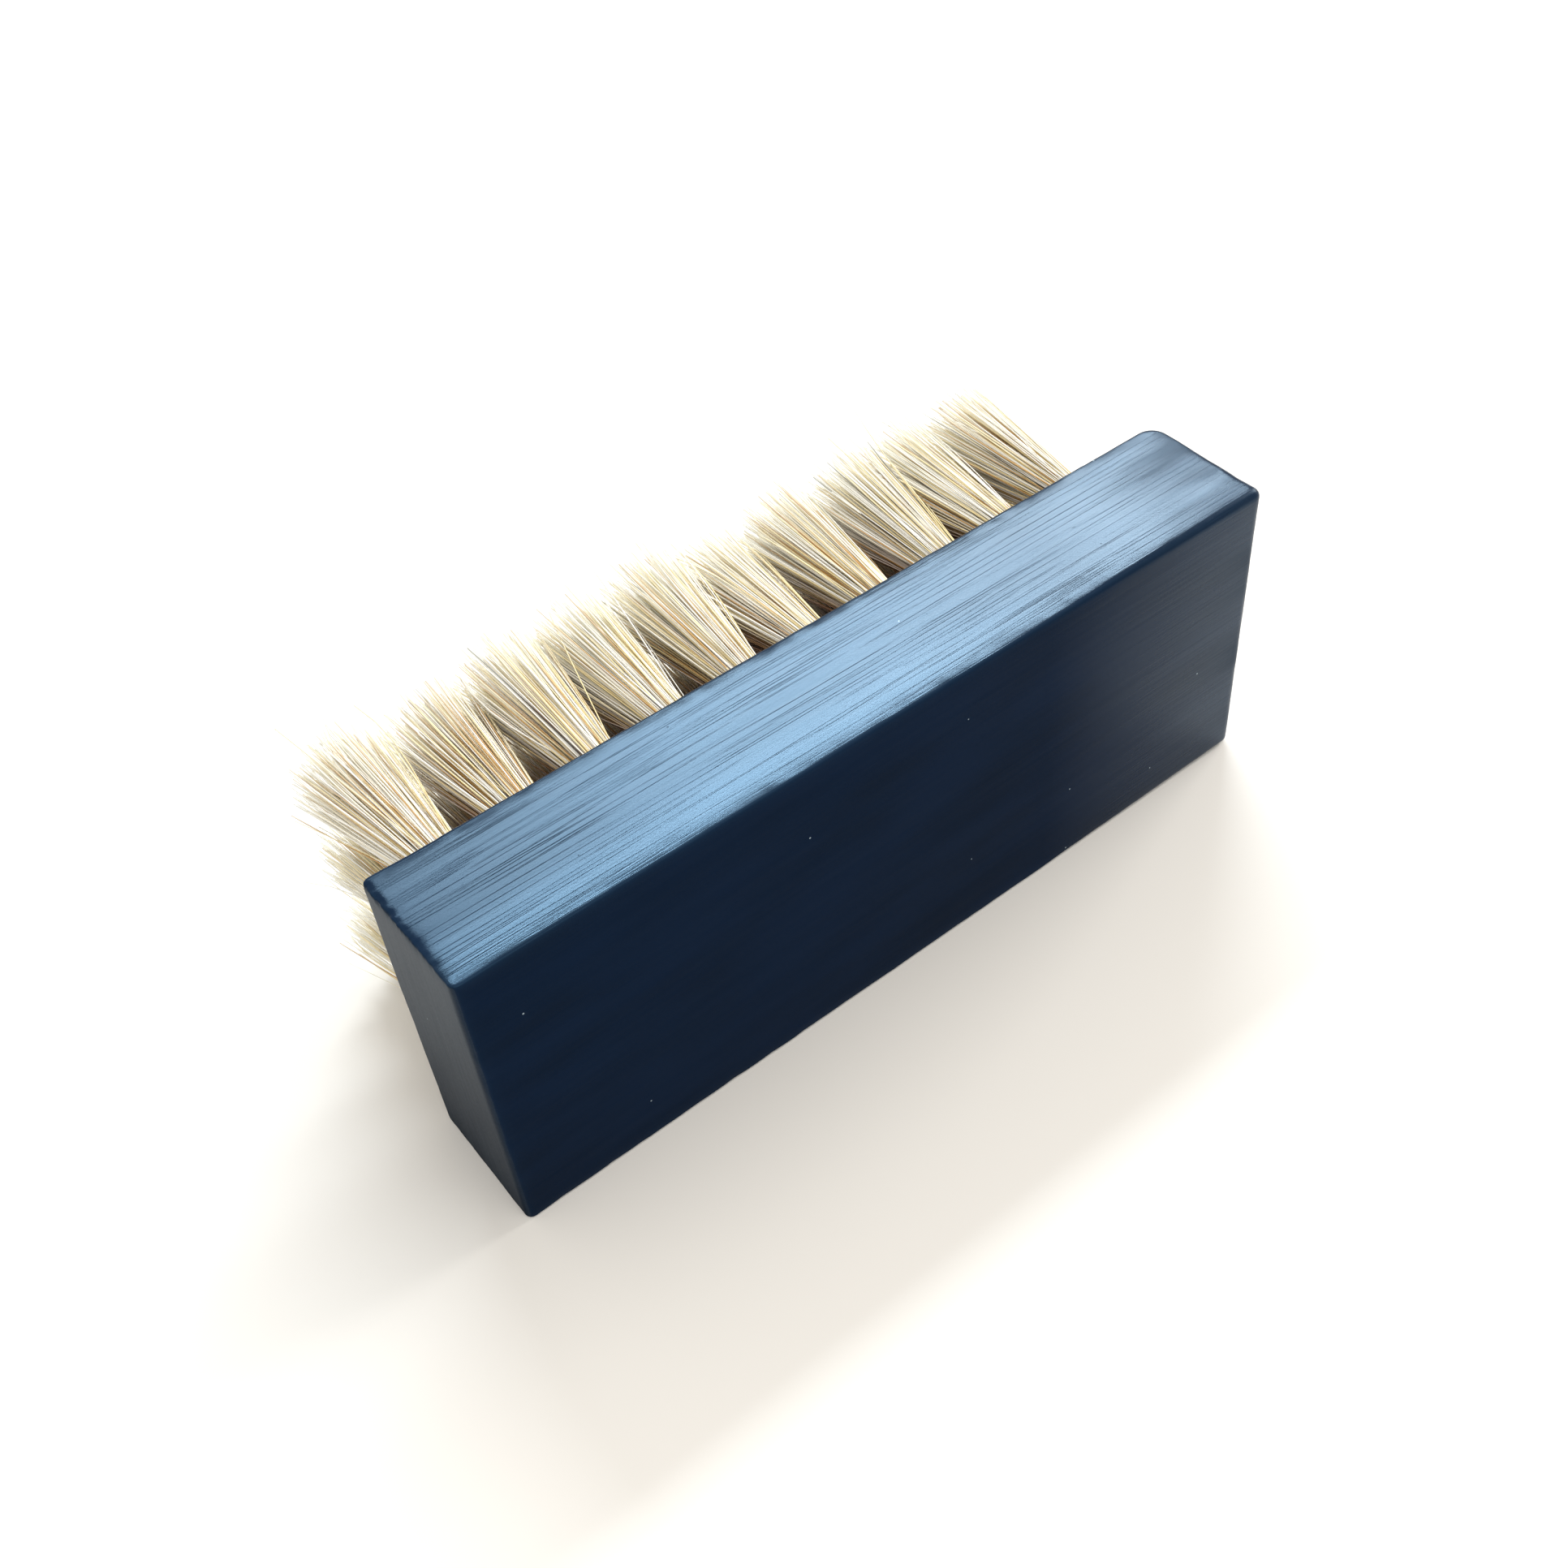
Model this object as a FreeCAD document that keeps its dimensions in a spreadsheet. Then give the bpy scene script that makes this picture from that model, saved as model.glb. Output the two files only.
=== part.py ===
import FreeCAD, Part
import os
import Sketcher

# A hand brush: a painted wooden block with rows of natural bristle tufts in one broad face.
#
# The frame: the block lies on one long narrow side, so Z is up and Z = 0 is the surface under it. X runs
# along the block, and the bristles point along +Y. The origin is at the middle of the whole brush's footprint.
# Each tuft is a bundle of bristle folded in half round a flat wire anchor. The anchor is driven to the bottom
# of a blind hole, where its two ends bite into the wood.

SHEET = "Sizes"

# The driving sizes: millimetres, degrees for the angle, plain numbers for the two counts.
SIZES = {
    "block_length": (110, "the wooden block, along X"),
    "block_thickness": (18, "the block along Y, from its plain back to the face with the holes"),
    "block_width": (41, "the block along Z"),
    "long_edge_round": (0.8, "radius sanded on the edges round the two narrow long sides"),
    "sawn_corner_round": (1.0, "radius on the upright corners of the end at -X, left nearly as sawn"),
    "sanded_corner_round": (2.5, "radius on the upright corners of the end at +X"),
    "tufts_per_row": (10, "holes along X"),
    "row_count": (3, "rows of holes across Z"),
    "end_margin": (10, "from an end of the block to the nearest hole's axis"),
    "side_margin": (8.5, "from a long narrow side to the nearest row's axis"),
    "hole_diameter": (4.8, "the blind holes that hold the tufts"),
    "hole_depth": (12, "from the face to where the drill point's cone begins"),
    "drill_point_angle": (118, "the cone at the bottom of a hole"),
    "bristle_trim": (25, "how far the bristles stand out of the face"),
    "tuft_spread": (3.5, "how much wider a tuft is at its tips than in its hole, on each side"),
    "tip_gap": (0.3, "between the tips of neighbouring tufts"),
    "bundle_clearance": (0.05, "between a bundle and the wall of its hole, all round"),
    "fold_thickness": (1.6, "the bristle folded under an anchor"),
    "fold_round": (1.8, "radius of the folded end of a bundle"),
    "anchor_bite": (1.0, "how far each end of an anchor stands in the wood beside its hole"),
    "anchor_width": (1.6, "the flat wire along the depth of the hole"),
    "anchor_thickness": (0.4, "the flat wire's own thickness"),
    "anchor_clearance": (0.02, "between an anchor and its seat, on every side"),
}


def size(name):
    return f"{SHEET}.{name}"


# What follows from the driving sizes, as expressions that the features are bound to.
ROW_LENGTH = f"({size('block_length')} - 2 * {size('end_margin')})"
ROWS_WIDTH = f"({size('block_width')} - 2 * {size('side_margin')})"
TUFT_PITCH = f"({ROW_LENGTH} / ({size('tufts_per_row')} - 1))"
ROW_PITCH = f"({ROWS_WIDTH} / ({size('row_count')} - 1))"
FACE_Y = f"(({size('block_thickness')} - {size('bristle_trim')}) / 2)"
FIRST_X = f"({size('end_margin')} - {size('block_length')} / 2)"
BUNDLE_RADIUS = f"({size('hole_diameter')} / 2 - {size('bundle_clearance')})"
TIP_RADIUS = f"({BUNDLE_RADIUS} + {size('tuft_spread')})"
ANCHOR_DEPTH = f"({size('hole_depth')} - {size('fold_thickness')})"
ANCHOR_LENGTH = f"({size('hole_diameter')} + 2 * {size('anchor_bite')})"
SEAT_LENGTH = f"({ANCHOR_LENGTH} + 2 * {size('anchor_clearance')})"
SEAT_WIDTH = f"({size('anchor_width')} + 2 * {size('anchor_clearance')})"
SEAT_THICKNESS = f"({size('anchor_thickness')} + 2 * {size('anchor_clearance')})"

# Two places in millimetres that differ by less than this are the same place.
SAME_PLACE = 1e-6
# The share by which the volume cut by all the holes may differ from their number times one hole.
SAME_VOLUME = 1e-3


def bind(thing, expressions):
    """Bind properties of a document object to expressions."""
    for name, expression in expressions.items():
        thing.setExpression(name, expression)


def make_sheet(doc):
    """The spreadsheet that holds the driving sizes, one to a row: name, value, what it measures."""
    sheet = doc.addObject("Spreadsheet::Sheet", SHEET)
    for row, (name, (value, meaning)) in enumerate(SIZES.items(), start=1):
        sheet.set(f"A{row}", name)
        sheet.set(f"B{row}", str(value))
        sheet.setAlias(f"B{row}", name)
        sheet.set(f"C{row}", meaning)
    doc.recompute()
    return sheet


def make_body(doc, label, place):
    """An empty body at a place given as three expressions. Its own y = 0 is the face with the holes."""
    body = doc.addObject("PartDesign::Body", label)
    body.Label = label
    bind(body, {f"Placement.Base.{axis}": where for axis, where in zip("xyz", place)})
    return body


def make_sketch(body, role, name, shift=("0", "0", "0")):
    """A sketch on one of the body's own origin planes, moved in the sketch's axes by three expressions."""
    plane = next(feature for feature in body.Origin.OriginFeatures if feature.Role == role)
    sketch = body.newObject("Sketcher::SketchObject", name)
    sketch.AttachmentSupport = [(plane, "")]
    sketch.MapMode = "FlatFace"
    bind(sketch, {f"AttachmentOffset.Base.{axis}": by for axis, by in zip("xyz", shift)})
    return sketch


def number(thing, expression):
    """What an expression comes to now."""
    value = thing.evalExpression(expression)
    return float(getattr(value, "Value", value))


def draw_outline(sketch, corners):
    """A closed outline of straight sides. A corner is two expressions, and "0" puts it on an axis."""
    first = sketch.GeometryCount
    count = len(corners)
    points = [FreeCAD.Vector(number(sketch, across), number(sketch, up)) for across, up in corners]
    for corner, point in enumerate(points):
        sketch.addGeometry(Part.LineSegment(point, points[(corner + 1) % count]))
    for corner in range(count):
        following = first + (corner + 1) % count
        sketch.addConstraint(Sketcher.Constraint("Coincident", first + corner, 2, following, 1))
    for corner, place in enumerate(corners):
        for kind, axis, where in zip(("DistanceX", "DistanceY"), (-2, -1), place):
            line = first + corner
            if where == "0":
                sketch.addConstraint(Sketcher.Constraint("PointOnObject", line, 1, axis))
                continue
            distance = Sketcher.Constraint(kind, -1, 1, line, 1, number(sketch, where))
            sketch.setExpression(f"Constraints[{sketch.addConstraint(distance)}]", where)


def rectangle(across, up):
    """The corners of a rectangle about the sketch's origin."""
    half_across, half_up = f"({across}) / 2", f"({up}) / 2"
    return [
        (f"-{half_across}", f"-{half_up}"),
        (half_across, f"-{half_up}"),
        (half_across, half_up),
        (f"-{half_across}", half_up),
    ]


def draw_circle(sketch, radius):
    """A circle about the sketch's origin."""
    circle = Part.Circle(FreeCAD.Vector(), FreeCAD.Vector(0, 0, 1), number(sketch, radius))
    line = sketch.addGeometry(circle)
    sketch.addConstraint(Sketcher.Constraint("Coincident", line, 3, -1, 1))
    held = Sketcher.Constraint("Radius", line, number(sketch, radius))
    sketch.setExpression(f"Constraints[{sketch.addConstraint(held)}]", radius)


def add_feature(body, kind, name, sketch, expressions):
    """A PartDesign feature made from a sketch."""
    feature = body.newObject(f"PartDesign::{kind}", name)
    feature.Profile = sketch
    bind(feature, expressions)
    return feature


def round_edges(doc, body, name, chosen, radius):
    """Fillet each edge of the body so far for which chosen(edge) is true."""
    doc.recompute()
    base = body.Tip
    names = [f"Edge{n}" for n, edge in enumerate(base.Shape.Edges, start=1) if chosen(edge)]
    fillet = body.newObject("PartDesign::Fillet", name)
    fillet.Base = (base, names)
    fillet.setExpression("Radius", radius)
    doc.recompute()
    return fillet


def is_upright(edge):
    box = edge.BoundBox
    return box.XLength + box.YLength < SAME_PLACE < box.ZLength


def lies_flat(edge):
    return edge.BoundBox.ZLength < SAME_PLACE


def repeat_along_row(body, name, features, direction):
    """Repeat features at each hole of a row along X."""
    pattern = body.newObject("PartDesign::LinearPattern", name)
    pattern.Originals = features
    pattern.Direction = (direction, ["H_Axis"])
    bind(pattern, {"Length": ROW_LENGTH, "Occurrences": size("tufts_per_row")})
    body.Tip = pattern
    return pattern


def make_block(doc):
    """The wooden block, with a blind hole and an anchor's seat for each tuft."""
    body = make_body(doc, "brush_block", ("0", FACE_Y, "0"))
    outline = make_sketch(body, "XY_Plane", "block_outline", ("0", f"-{size('block_thickness')} / 2", "0"))
    draw_outline(outline, rectangle(size("block_length"), size("block_thickness")))
    add_feature(body, "Pad", "block_blank", outline, {"Length": size("block_width")})

    round_edges(doc, body, "sawn_corners", lambda edge: is_upright(edge) and edge.BoundBox.XMax < 0,
                size("sawn_corner_round"))
    round_edges(doc, body, "sanded_corners", lambda edge: is_upright(edge) and edge.BoundBox.XMin > 0,
                size("sanded_corner_round"))
    blank = round_edges(doc, body, "long_edges", lies_flat, size("long_edge_round"))
    blank_volume = blank.Shape.Volume

    mouth = make_sketch(body, "XZ_Plane", "hole_mouth", (FIRST_X, size("side_margin"), "0"))
    draw_circle(mouth, f"{size('hole_diameter')} / 2")
    doc.recompute()
    hole = add_feature(body, "Hole", "tuft_hole", mouth, {})
    hole.DepthType = "Dimension"
    hole.DrillPoint = "Angled"
    hole.Reversed = True
    drill = {"Diameter": "hole_diameter", "Depth": "hole_depth", "DrillPointAngle": "drill_point_angle"}
    bind(hole, {name: size(value) for name, value in drill.items()})

    floor = f"{ANCHOR_DEPTH} + {size('anchor_clearance')}"
    seat = make_sketch(body, "XZ_Plane", "anchor_seat_outline", (FIRST_X, size("side_margin"), floor))
    draw_outline(seat, rectangle(SEAT_LENGTH, SEAT_THICKNESS))
    slot = add_feature(body, "Pocket", "anchor_seat", seat, {"Length": SEAT_WIDTH})
    doc.recompute()
    cut_once = blank_volume - slot.Shape.Volume

    holes = repeat_along_row(body, "all_holes", [hole, slot], mouth)
    holes.Direction2 = (mouth, ["V_Axis"])
    bind(holes, {"Length2": ROWS_WIDTH, "Occurrences2": size("row_count")})
    doc.recompute()
    cut_in_all = blank_volume - body.Shape.Volume
    wanted = cut_once * holes.Occurrences * holes.Occurrences2
    if cut_once <= 0 or abs(cut_in_all - wanted) > SAME_VOLUME * wanted:
        raise RuntimeError(f"the holes take {cut_in_all} mm3 out of the block, not {wanted}")
    return body


def make_tuft(doc, row, column):
    """One bundle of bristle, from the fold under its anchor to its trimmed tips.

    It spreads freely as a cone until it meets its neighbours, which flatten its sides.
    """
    label = f"tuft_r{row + 1}_c{column + 1:02d}"
    place = (f"{FIRST_X} + {column} * {TUFT_PITCH}", FACE_Y, f"{size('side_margin')} + {row} * {ROW_PITCH}")
    body = make_body(doc, label, place)

    profile = make_sketch(body, "XY_Plane", f"profile_{label}")
    fold, tips = f"-{size('hole_depth')}", size("bristle_trim")
    draw_outline(
        profile,
        [("0", fold), (BUNDLE_RADIUS, fold), (BUNDLE_RADIUS, "0"), (TIP_RADIUS, tips), ("0", tips)],
    )
    bundle = add_feature(body, "Revolution", f"bundle_{label}", profile, {})
    bundle.ReferenceAxis = (profile, ["V_Axis"])
    bundle.Angle = 360

    folded_end = -number(body, size("hole_depth")) + SAME_PLACE
    round_edges(doc, body, f"fold_{label}", lambda edge: edge.BoundBox.YMax < folded_end, size("fold_round"))

    cell = make_sketch(body, "XZ_Plane", f"cell_{label}")
    beyond_tips = f"4 * {TIP_RADIUS}"
    draw_outline(cell, rectangle(beyond_tips, beyond_tips))
    draw_outline(cell, rectangle(f"{TUFT_PITCH} - {size('tip_gap')}", f"{ROW_PITCH} - {size('tip_gap')}"))
    add_feature(body, "Pocket", f"flats_{label}", cell, {"Length": size("bristle_trim")})

    middle = f"{size('anchor_width')} / 2 - {ANCHOR_DEPTH}"
    eye = make_sketch(body, "YZ_Plane", f"eye_outline_{label}", (middle, "0", "0"))
    draw_outline(eye, rectangle(SEAT_WIDTH, SEAT_THICKNESS))
    slot = add_feature(body, "Pocket", f"eye_{label}", eye, {"Length": size("hole_diameter")})
    slot.Midplane = True
    return body


def make_anchors(doc, row):
    """The flat wire anchors of one row, each through the fold of its tuft and into the wood at both ends."""
    label = f"anchors_row_{row + 1}"
    place = (FIRST_X, FACE_Y, f"{size('side_margin')} + {row} * {ROW_PITCH}")
    body = make_body(doc, label, place)
    body.AllowCompound = True
    top = f"{ANCHOR_DEPTH} - {size('anchor_width')}"
    wire = make_sketch(body, "XZ_Plane", f"wire_{label}", ("0", "0", top))
    draw_outline(wire, rectangle(ANCHOR_LENGTH, size("anchor_thickness")))
    anchor = add_feature(body, "Pad", f"anchor_{label}", wire, {"Length": size("anchor_width")})
    doc.recompute()
    repeat_along_row(body, f"row_{label}", [anchor], wire)
    return body


def check(doc, pieces):
    """Stop if a feature failed, or a piece isn't the whole, valid solids that it should be."""
    doc.recompute()
    for thing in doc.Objects:
        if {"Invalid", "Error"} & set(thing.State):
            raise RuntimeError(f"{thing.Label} failed: {thing.State}")
    for body, solids in pieces:
        shape = body.Shape
        if shape.isNull() or not shape.isValid() or len(shape.Solids) != solids:
            raise RuntimeError(f"{body.Label} isn't {solids} valid solids")


def main():
    doc = FreeCAD.newDocument("brush")
    sheet = make_sheet(doc)
    columns, rows = int(sheet.tufts_per_row), range(int(sheet.row_count))
    pieces = [(make_block(doc), 1)]
    for row in rows:
        pieces += [(make_tuft(doc, row, column), 1) for column in range(columns)]
        pieces.append((make_anchors(doc, row), columns))
    check(doc, pieces)
    os.makedirs("parts", exist_ok=True)
    for body, solids in pieces:
        body.Shape.exportStep(f"parts/{body.Label}.step")
        print(body.Label, solids, "solids", round(body.Shape.Volume, 3), "mm3")


main()
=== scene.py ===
import math

import bpy
import numpy as np
from bpy.props import FloatProperty, FloatVectorProperty, IntProperty, PointerProperty
from mathutils import Matrix, Vector, noise


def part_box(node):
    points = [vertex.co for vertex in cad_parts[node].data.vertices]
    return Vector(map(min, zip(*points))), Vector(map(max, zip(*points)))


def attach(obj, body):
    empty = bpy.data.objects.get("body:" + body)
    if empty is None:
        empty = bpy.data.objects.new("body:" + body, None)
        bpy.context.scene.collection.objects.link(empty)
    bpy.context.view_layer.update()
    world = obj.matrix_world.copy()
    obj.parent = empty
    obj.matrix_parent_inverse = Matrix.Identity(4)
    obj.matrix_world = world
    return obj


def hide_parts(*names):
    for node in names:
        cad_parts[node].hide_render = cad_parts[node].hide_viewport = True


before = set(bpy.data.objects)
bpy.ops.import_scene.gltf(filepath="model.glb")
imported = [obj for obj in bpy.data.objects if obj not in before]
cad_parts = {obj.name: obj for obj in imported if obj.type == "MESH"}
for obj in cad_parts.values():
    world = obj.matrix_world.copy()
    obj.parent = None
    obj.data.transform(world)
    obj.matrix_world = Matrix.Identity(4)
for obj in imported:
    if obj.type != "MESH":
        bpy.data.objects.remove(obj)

bl_info = {
    "name": "Block brush",
    "version": (1, 0, 0),
    "blender": (4, 5, 0),
    "location": "3D View > Sidebar > Brush",
    "description": "A painted wooden block with tufts of natural bristle, built around its CAD frame",
    "category": "Object",
}

MM = 0.001

# The frame gives every place: the block's box, and one box for each tuft and each row of anchors.
BLOCK_LOW, BLOCK_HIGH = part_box("brush_block")
FACE_Y = BLOCK_HIGH.y
TUFTS = sorted(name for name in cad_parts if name.startswith("tuft_"))
ANCHORS = sorted(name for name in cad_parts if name.startswith("anchors_"))
TUFT_LOW, TUFT_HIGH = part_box(TUFTS[0])
ANCHOR_LOW, ANCHOR_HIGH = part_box(ANCHORS[0])


def linear(code):
    """An sRGB hex colour as linear red, green and blue."""
    parts = [int(code[at:at + 2], 16) / 255 for at in (1, 3, 5)]
    return [part / 12.92 if part <= 0.04045 else ((part + 0.055) / 1.055) ** 2.4 for part in parts]


def length_setting(name, description, default):
    """A length in metres that a user may change."""
    return FloatProperty(
        name=name, description=description, default=default, min=0, unit="LENGTH", precision=5
    )


def strength_setting(name, description, default):
    """The strength of a light that a user may change."""
    return FloatProperty(name=name, description=description, default=default, min=0)


def colour_setting(name, description, code):
    """A colour that a user may change, with its default in sRGB hex."""
    return FloatVectorProperty(
        name=name, description=description, default=linear(code), size=3, min=0, max=1, subtype="COLOR"
    )


class BrushBlockSettings(bpy.types.PropertyGroup):
    edge_round: length_setting("Edges", "Radius sanded on the long edges", 0.4 * MM)
    sanded_edge: length_setting("Back edges", "Radius of the back edges at the sanded end", 1.1 * MM)
    sawn_round: length_setting("Sawn end", "Radius of the sawn end's upright corners", 1.0 * MM)
    sanded_round: length_setting("Sanded end", "Radius of the other end's upright corners", 2.5 * MM)
    hole_width: length_setting("Hole diameter", "Diameter of the blind holes for the tufts", 4.8 * MM)
    hole_cone: length_setting("Drill cone", "Depth of the cone that the drill point leaves", 1.44 * MM)
    unevenness: length_setting("Unevenness", "How far the hand-sanded faces wander from flat", 0.05 * MM)
    tear_depth: length_setting("Tear depth", "How deep the torn edge at the sawn end is", 0.25 * MM)
    paint: colour_setting("Paint", "Colour of the enamel", "#0B1C33")
    end_paint: colour_setting("End grain paint", "Colour of the enamel that end grain soaked up", "#131E2C")


class BrushTuftSettings(bpy.types.PropertyGroup):
    bristles: IntProperty(
        name="Bristles", description="Bristles in a tuft, each folded in half", default=250, min=8
    )
    bundle_width: length_setting("Bundle diameter", "Diameter of a bundle as it leaves its hole", 4.6 * MM)
    tip_width: length_setting("Tip diameter", "Diameter of a tuft at its trimmed tips", 12.0 * MM)
    thick_end: length_setting("Butt diameter", "Diameter of a bristle at its thick end", 0.18 * MM)
    thin_end: length_setting("Flag diameter", "Diameter of a bristle at its thin end", 0.11 * MM)
    trim_scatter: length_setting("Trim scatter", "How unevenly the bristles are trimmed", 0.55 * MM)
    wander: length_setting("Wander", "How far a tip strays from its place in the tuft", 0.55 * MM)
    lean: length_setting("Lean", "How far the tips of a whole tuft lean from straight", 0.7 * MM)
    end_splay: length_setting("End splay", "How far the tufts by the sawn end splay outwards", 1.0 * MM)
    pale: colour_setting("Pale bristle", "The commonest colour of bristle", "#FFFEF9")
    honey: colour_setting("Honey bristle", "The warmer bristles among the pale ones", "#F8E7B2")
    tan: colour_setting("Tan bristle", "The browner bristles", "#C79A56")
    dark: colour_setting("Dark bristle", "The few nearly black bristles", "#2E2018")


class BrushAnchorSettings(bpy.types.PropertyGroup):
    wire: colour_setting("Wire", "Colour of the tinned steel wire", "#C9C5BC")


class BrushStageSettings(bpy.types.PropertyGroup):
    floor: colour_setting("Floor", "Colour of the plain pale floor", "#EFEEEC")
    window: strength_setting("Window", "Radiance of the long soft light behind", 31.0)
    window_colour: colour_setting("Window colour", "Colour of the long soft light behind", "#F4FBFF")
    side: strength_setting("Side", "Radiance of the soft light from the side", 7.5)
    ceiling: strength_setting("Ceiling", "Radiance of the soft light above", 1.7)
    room: strength_setting("Room", "Strength of the even light from all round", 0.65)
    room_colour: colour_setting("Room colour", "Colour of the even light from all round", "#FFFAF2")


# ---------------------------------------------------------------- meshes


def make_piece(name, points, faces, material, smooth=True):
    """A mesh object from arrays of points in metres and faces of equal size."""
    mesh = bpy.data.meshes.new(name)
    mesh.from_pydata(points.tolist(), [], faces.tolist())
    mesh.polygons.foreach_set("use_smooth", [smooth] * len(mesh.polygons))
    mesh.materials.append(material)
    mesh.update()
    piece = bpy.data.objects.new(name, mesh)
    bpy.context.scene.collection.objects.link(piece)
    return piece


def give_values(mesh, name, values):
    """Store one number for each point of a mesh, for its material to read."""
    mesh.attributes.new(name, "FLOAT", "POINT").data.foreach_set("value", np.asarray(values, np.float32))


def points_of(mesh, kind="co"):
    """A mesh's points, or their normals where kind is normal, as rows of x, y and z."""
    found = np.zeros(len(mesh.vertices) * 3, np.float32)
    if kind == "co":
        mesh.vertices.foreach_get("co", found)
    else:
        mesh.vertex_normals.foreach_get("vector", found)
    return found.reshape(-1, 3).astype(float)


def uneven(points, size, seed):
    """Smooth noise from -1 to 1 at each point, with lumps of about that size in metres."""
    shift = Vector((seed * 7.1, seed * 3.7, seed * 5.3))
    return np.array([noise.noise(Vector(point) / size + shift) for point in points])


def length_of(rows):
    """The length of each vector in an array whose last axis holds their parts."""
    return np.linalg.norm(rows, axis=-1)


# ---------------------------------------------------------------- the block

# The shell's faces grow from fine ones at the edges to these widths along X, Y and Z in the middle.
FINE_STEP, STEP_GROWTH = 0.14 * MM, 1.14
COARSE_STEPS = (0.6 * MM, 0.27 * MM, 0.6 * MM)

# Hand sanding took less off the sanded end's back corner, and left the long edges sharper at the sawn end.
BACK_CORNER_LOSS, SAWN_EDGE_LOSS, SAWN_REACH = 0.45, 0.4, 6 * MM

# The size of the lumps that sanding, wear, knocks and the saw left, and how near an edge most of them lie.
FACE_LUMP, EDGE_LUMP, EDGE_DENT, TEAR_LUMP, TEAR_FIBRE = 14 * MM, 4 * MM, 1.5 * MM, 0.7 * MM, 0.3 * MM
WEAR_REACH, DENT_REACH, TEAR_REACH = 0.8 * MM, 0.6 * MM, 0.45 * MM

# How deep wear and knocks go, in times the unevenness of the faces.
WEAR_DEPTH, DENT_DEPTH = 3, 2

# How strongly the enamel reflects, and the share taken off on the back and low and high on the sawn end, as
# painted shade.
SHEEN, BACK_LOSS, SAWN_LOSS_LOW, SAWN_LOSS_HIGH = 0.33, 0.94, 0.97, 0.37

DRILL_SIDES = 40


def stops(low, high, coarse_step):
    """Places from low to high, close together at both ends and wider apart in the middle."""
    half, step, places = (high - low) / 2, FINE_STEP, [0.0]
    while places[-1] < half:
        places.append(places[-1] + step)
        step = min(step * STEP_GROWTH, coarse_step)
    places = np.array(places) * half / places[-1]
    return np.concatenate([low + places, (high - places[:-1])[::-1]])


def box_shell(axes):
    """The points and four-sided faces of a box whose sides are divided at the places in axes."""
    quads = []
    for across in range(3):
        first, second = (across + 1) % 3, (across + 2) % 3
        i, j = np.meshgrid(range(len(axes[first]) - 1), range(len(axes[second]) - 1), indexing="ij")
        for level, order in ((0, -1), (len(axes[across]) - 1, 1)):
            corners = np.zeros((i.size, 4, 3), int)
            for corner, (ahead, beside) in enumerate(((0, 0), (1, 0), (1, 1), (0, 1))[::order]):
                corners[:, corner, across] = level
                corners[:, corner, first] = i.ravel() + ahead
                corners[:, corner, second] = j.ravel() + beside
            quads.append(corners)
    places, faces = np.unique(np.concatenate(quads).reshape(-1, 3), axis=0, return_inverse=True)
    points = np.stack([axes[axis][places[:, axis]] for axis in range(3)], axis=1)
    return points, faces.reshape(-1, 4)


def round_off(points, settings):
    """Round a box's shell as the block is rounded. Returns the points and the way out from each."""
    low, high = np.array(BLOCK_LOW), np.array(BLOCK_HIGH)
    # Each runs from 0 to 1: towards the back, along the back to the sanded end, and close to the sawn end.
    back = np.clip((high[1] - points[:, 1:2]) / (high[1] - low[1]) * 2 - 0.5, 0, 1)
    sanded = back * np.clip(points[:, :1] / high[0] * 1.5 - 0.5, 0, 1)
    sharp = np.clip((low[0] - points[:, :1]) / SAWN_REACH + 1, 0, 1)

    sanded_round = settings.sanded_round * (1 - BACK_CORNER_LOSS * back)
    corner = np.where(points[:, :1] < 0, settings.sawn_round, sanded_round)
    edge = settings.edge_round * (1 - SAWN_EDGE_LOSS * sharp)
    edge = edge + (settings.sanded_edge - settings.edge_round) * sanded

    # The upright corners are rounded to the larger radius, and every edge to the smaller one.
    core = np.clip(points[:, :2], low[:2] + corner, high[:2] - corner)
    outward = points[:, :2] - core
    share = np.minimum(1, (corner - edge) / np.maximum(length_of(outward), 1e-9)[:, None])
    level = np.clip(points[:, 2:], low[2] + edge, high[2] - edge)
    nearest = np.hstack([core + outward * share, level])
    away = points - nearest
    away /= length_of(away)[:, None]
    return nearest + away * edge, away


def edge_nearness(points, reach):
    """1 on the block's edges, falling to nothing over about that reach."""
    low, high = np.array(BLOCK_LOW), np.array(BLOCK_HIGH)
    inside = np.sort(np.minimum(points - low, high - points), axis=1)
    return np.exp(-np.maximum(inside[:, 1], 0) / reach)


def torn_nearness(points, reach):
    """1 on the upper edge of the sawn end, where the saw tore the wood, falling over that reach."""
    from_edge = np.hypot(points[:, 0] - BLOCK_LOW.x, points[:, 2] - BLOCK_HIGH.z)
    return np.exp(-(from_edge / reach) ** 2)


def rubbed_nearness(points):
    """1 on the back and its edges towards the sanded end, where handling wrinkled the wet paint."""
    along = np.clip((points[:, 0] - 0.3 * BLOCK_HIGH.x) / (0.5 * BLOCK_HIGH.x), 0, 1)
    return along * np.exp(-((points[:, 1] - BLOCK_LOW.y) / (4 * MM)) ** 2)


def handled_nearness(points):
    """1 at the sanded end, where handling dulled the paint, falling to nothing over 18 mm."""
    return np.clip((points[:, 0] - BLOCK_HIGH.x) / (18 * MM) + 1, 0, 1) ** 1.5


def end_grain_share(points, normals):
    """1 on the block's two ends, falling to 0 on its long faces, and 0 inside the holes."""
    outside = points[:, 1] < FACE_Y - 0.2 * MM
    return np.clip((np.abs(normals[:, 0]) - 0.55) / 0.35, 0, 1) * outside


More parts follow.
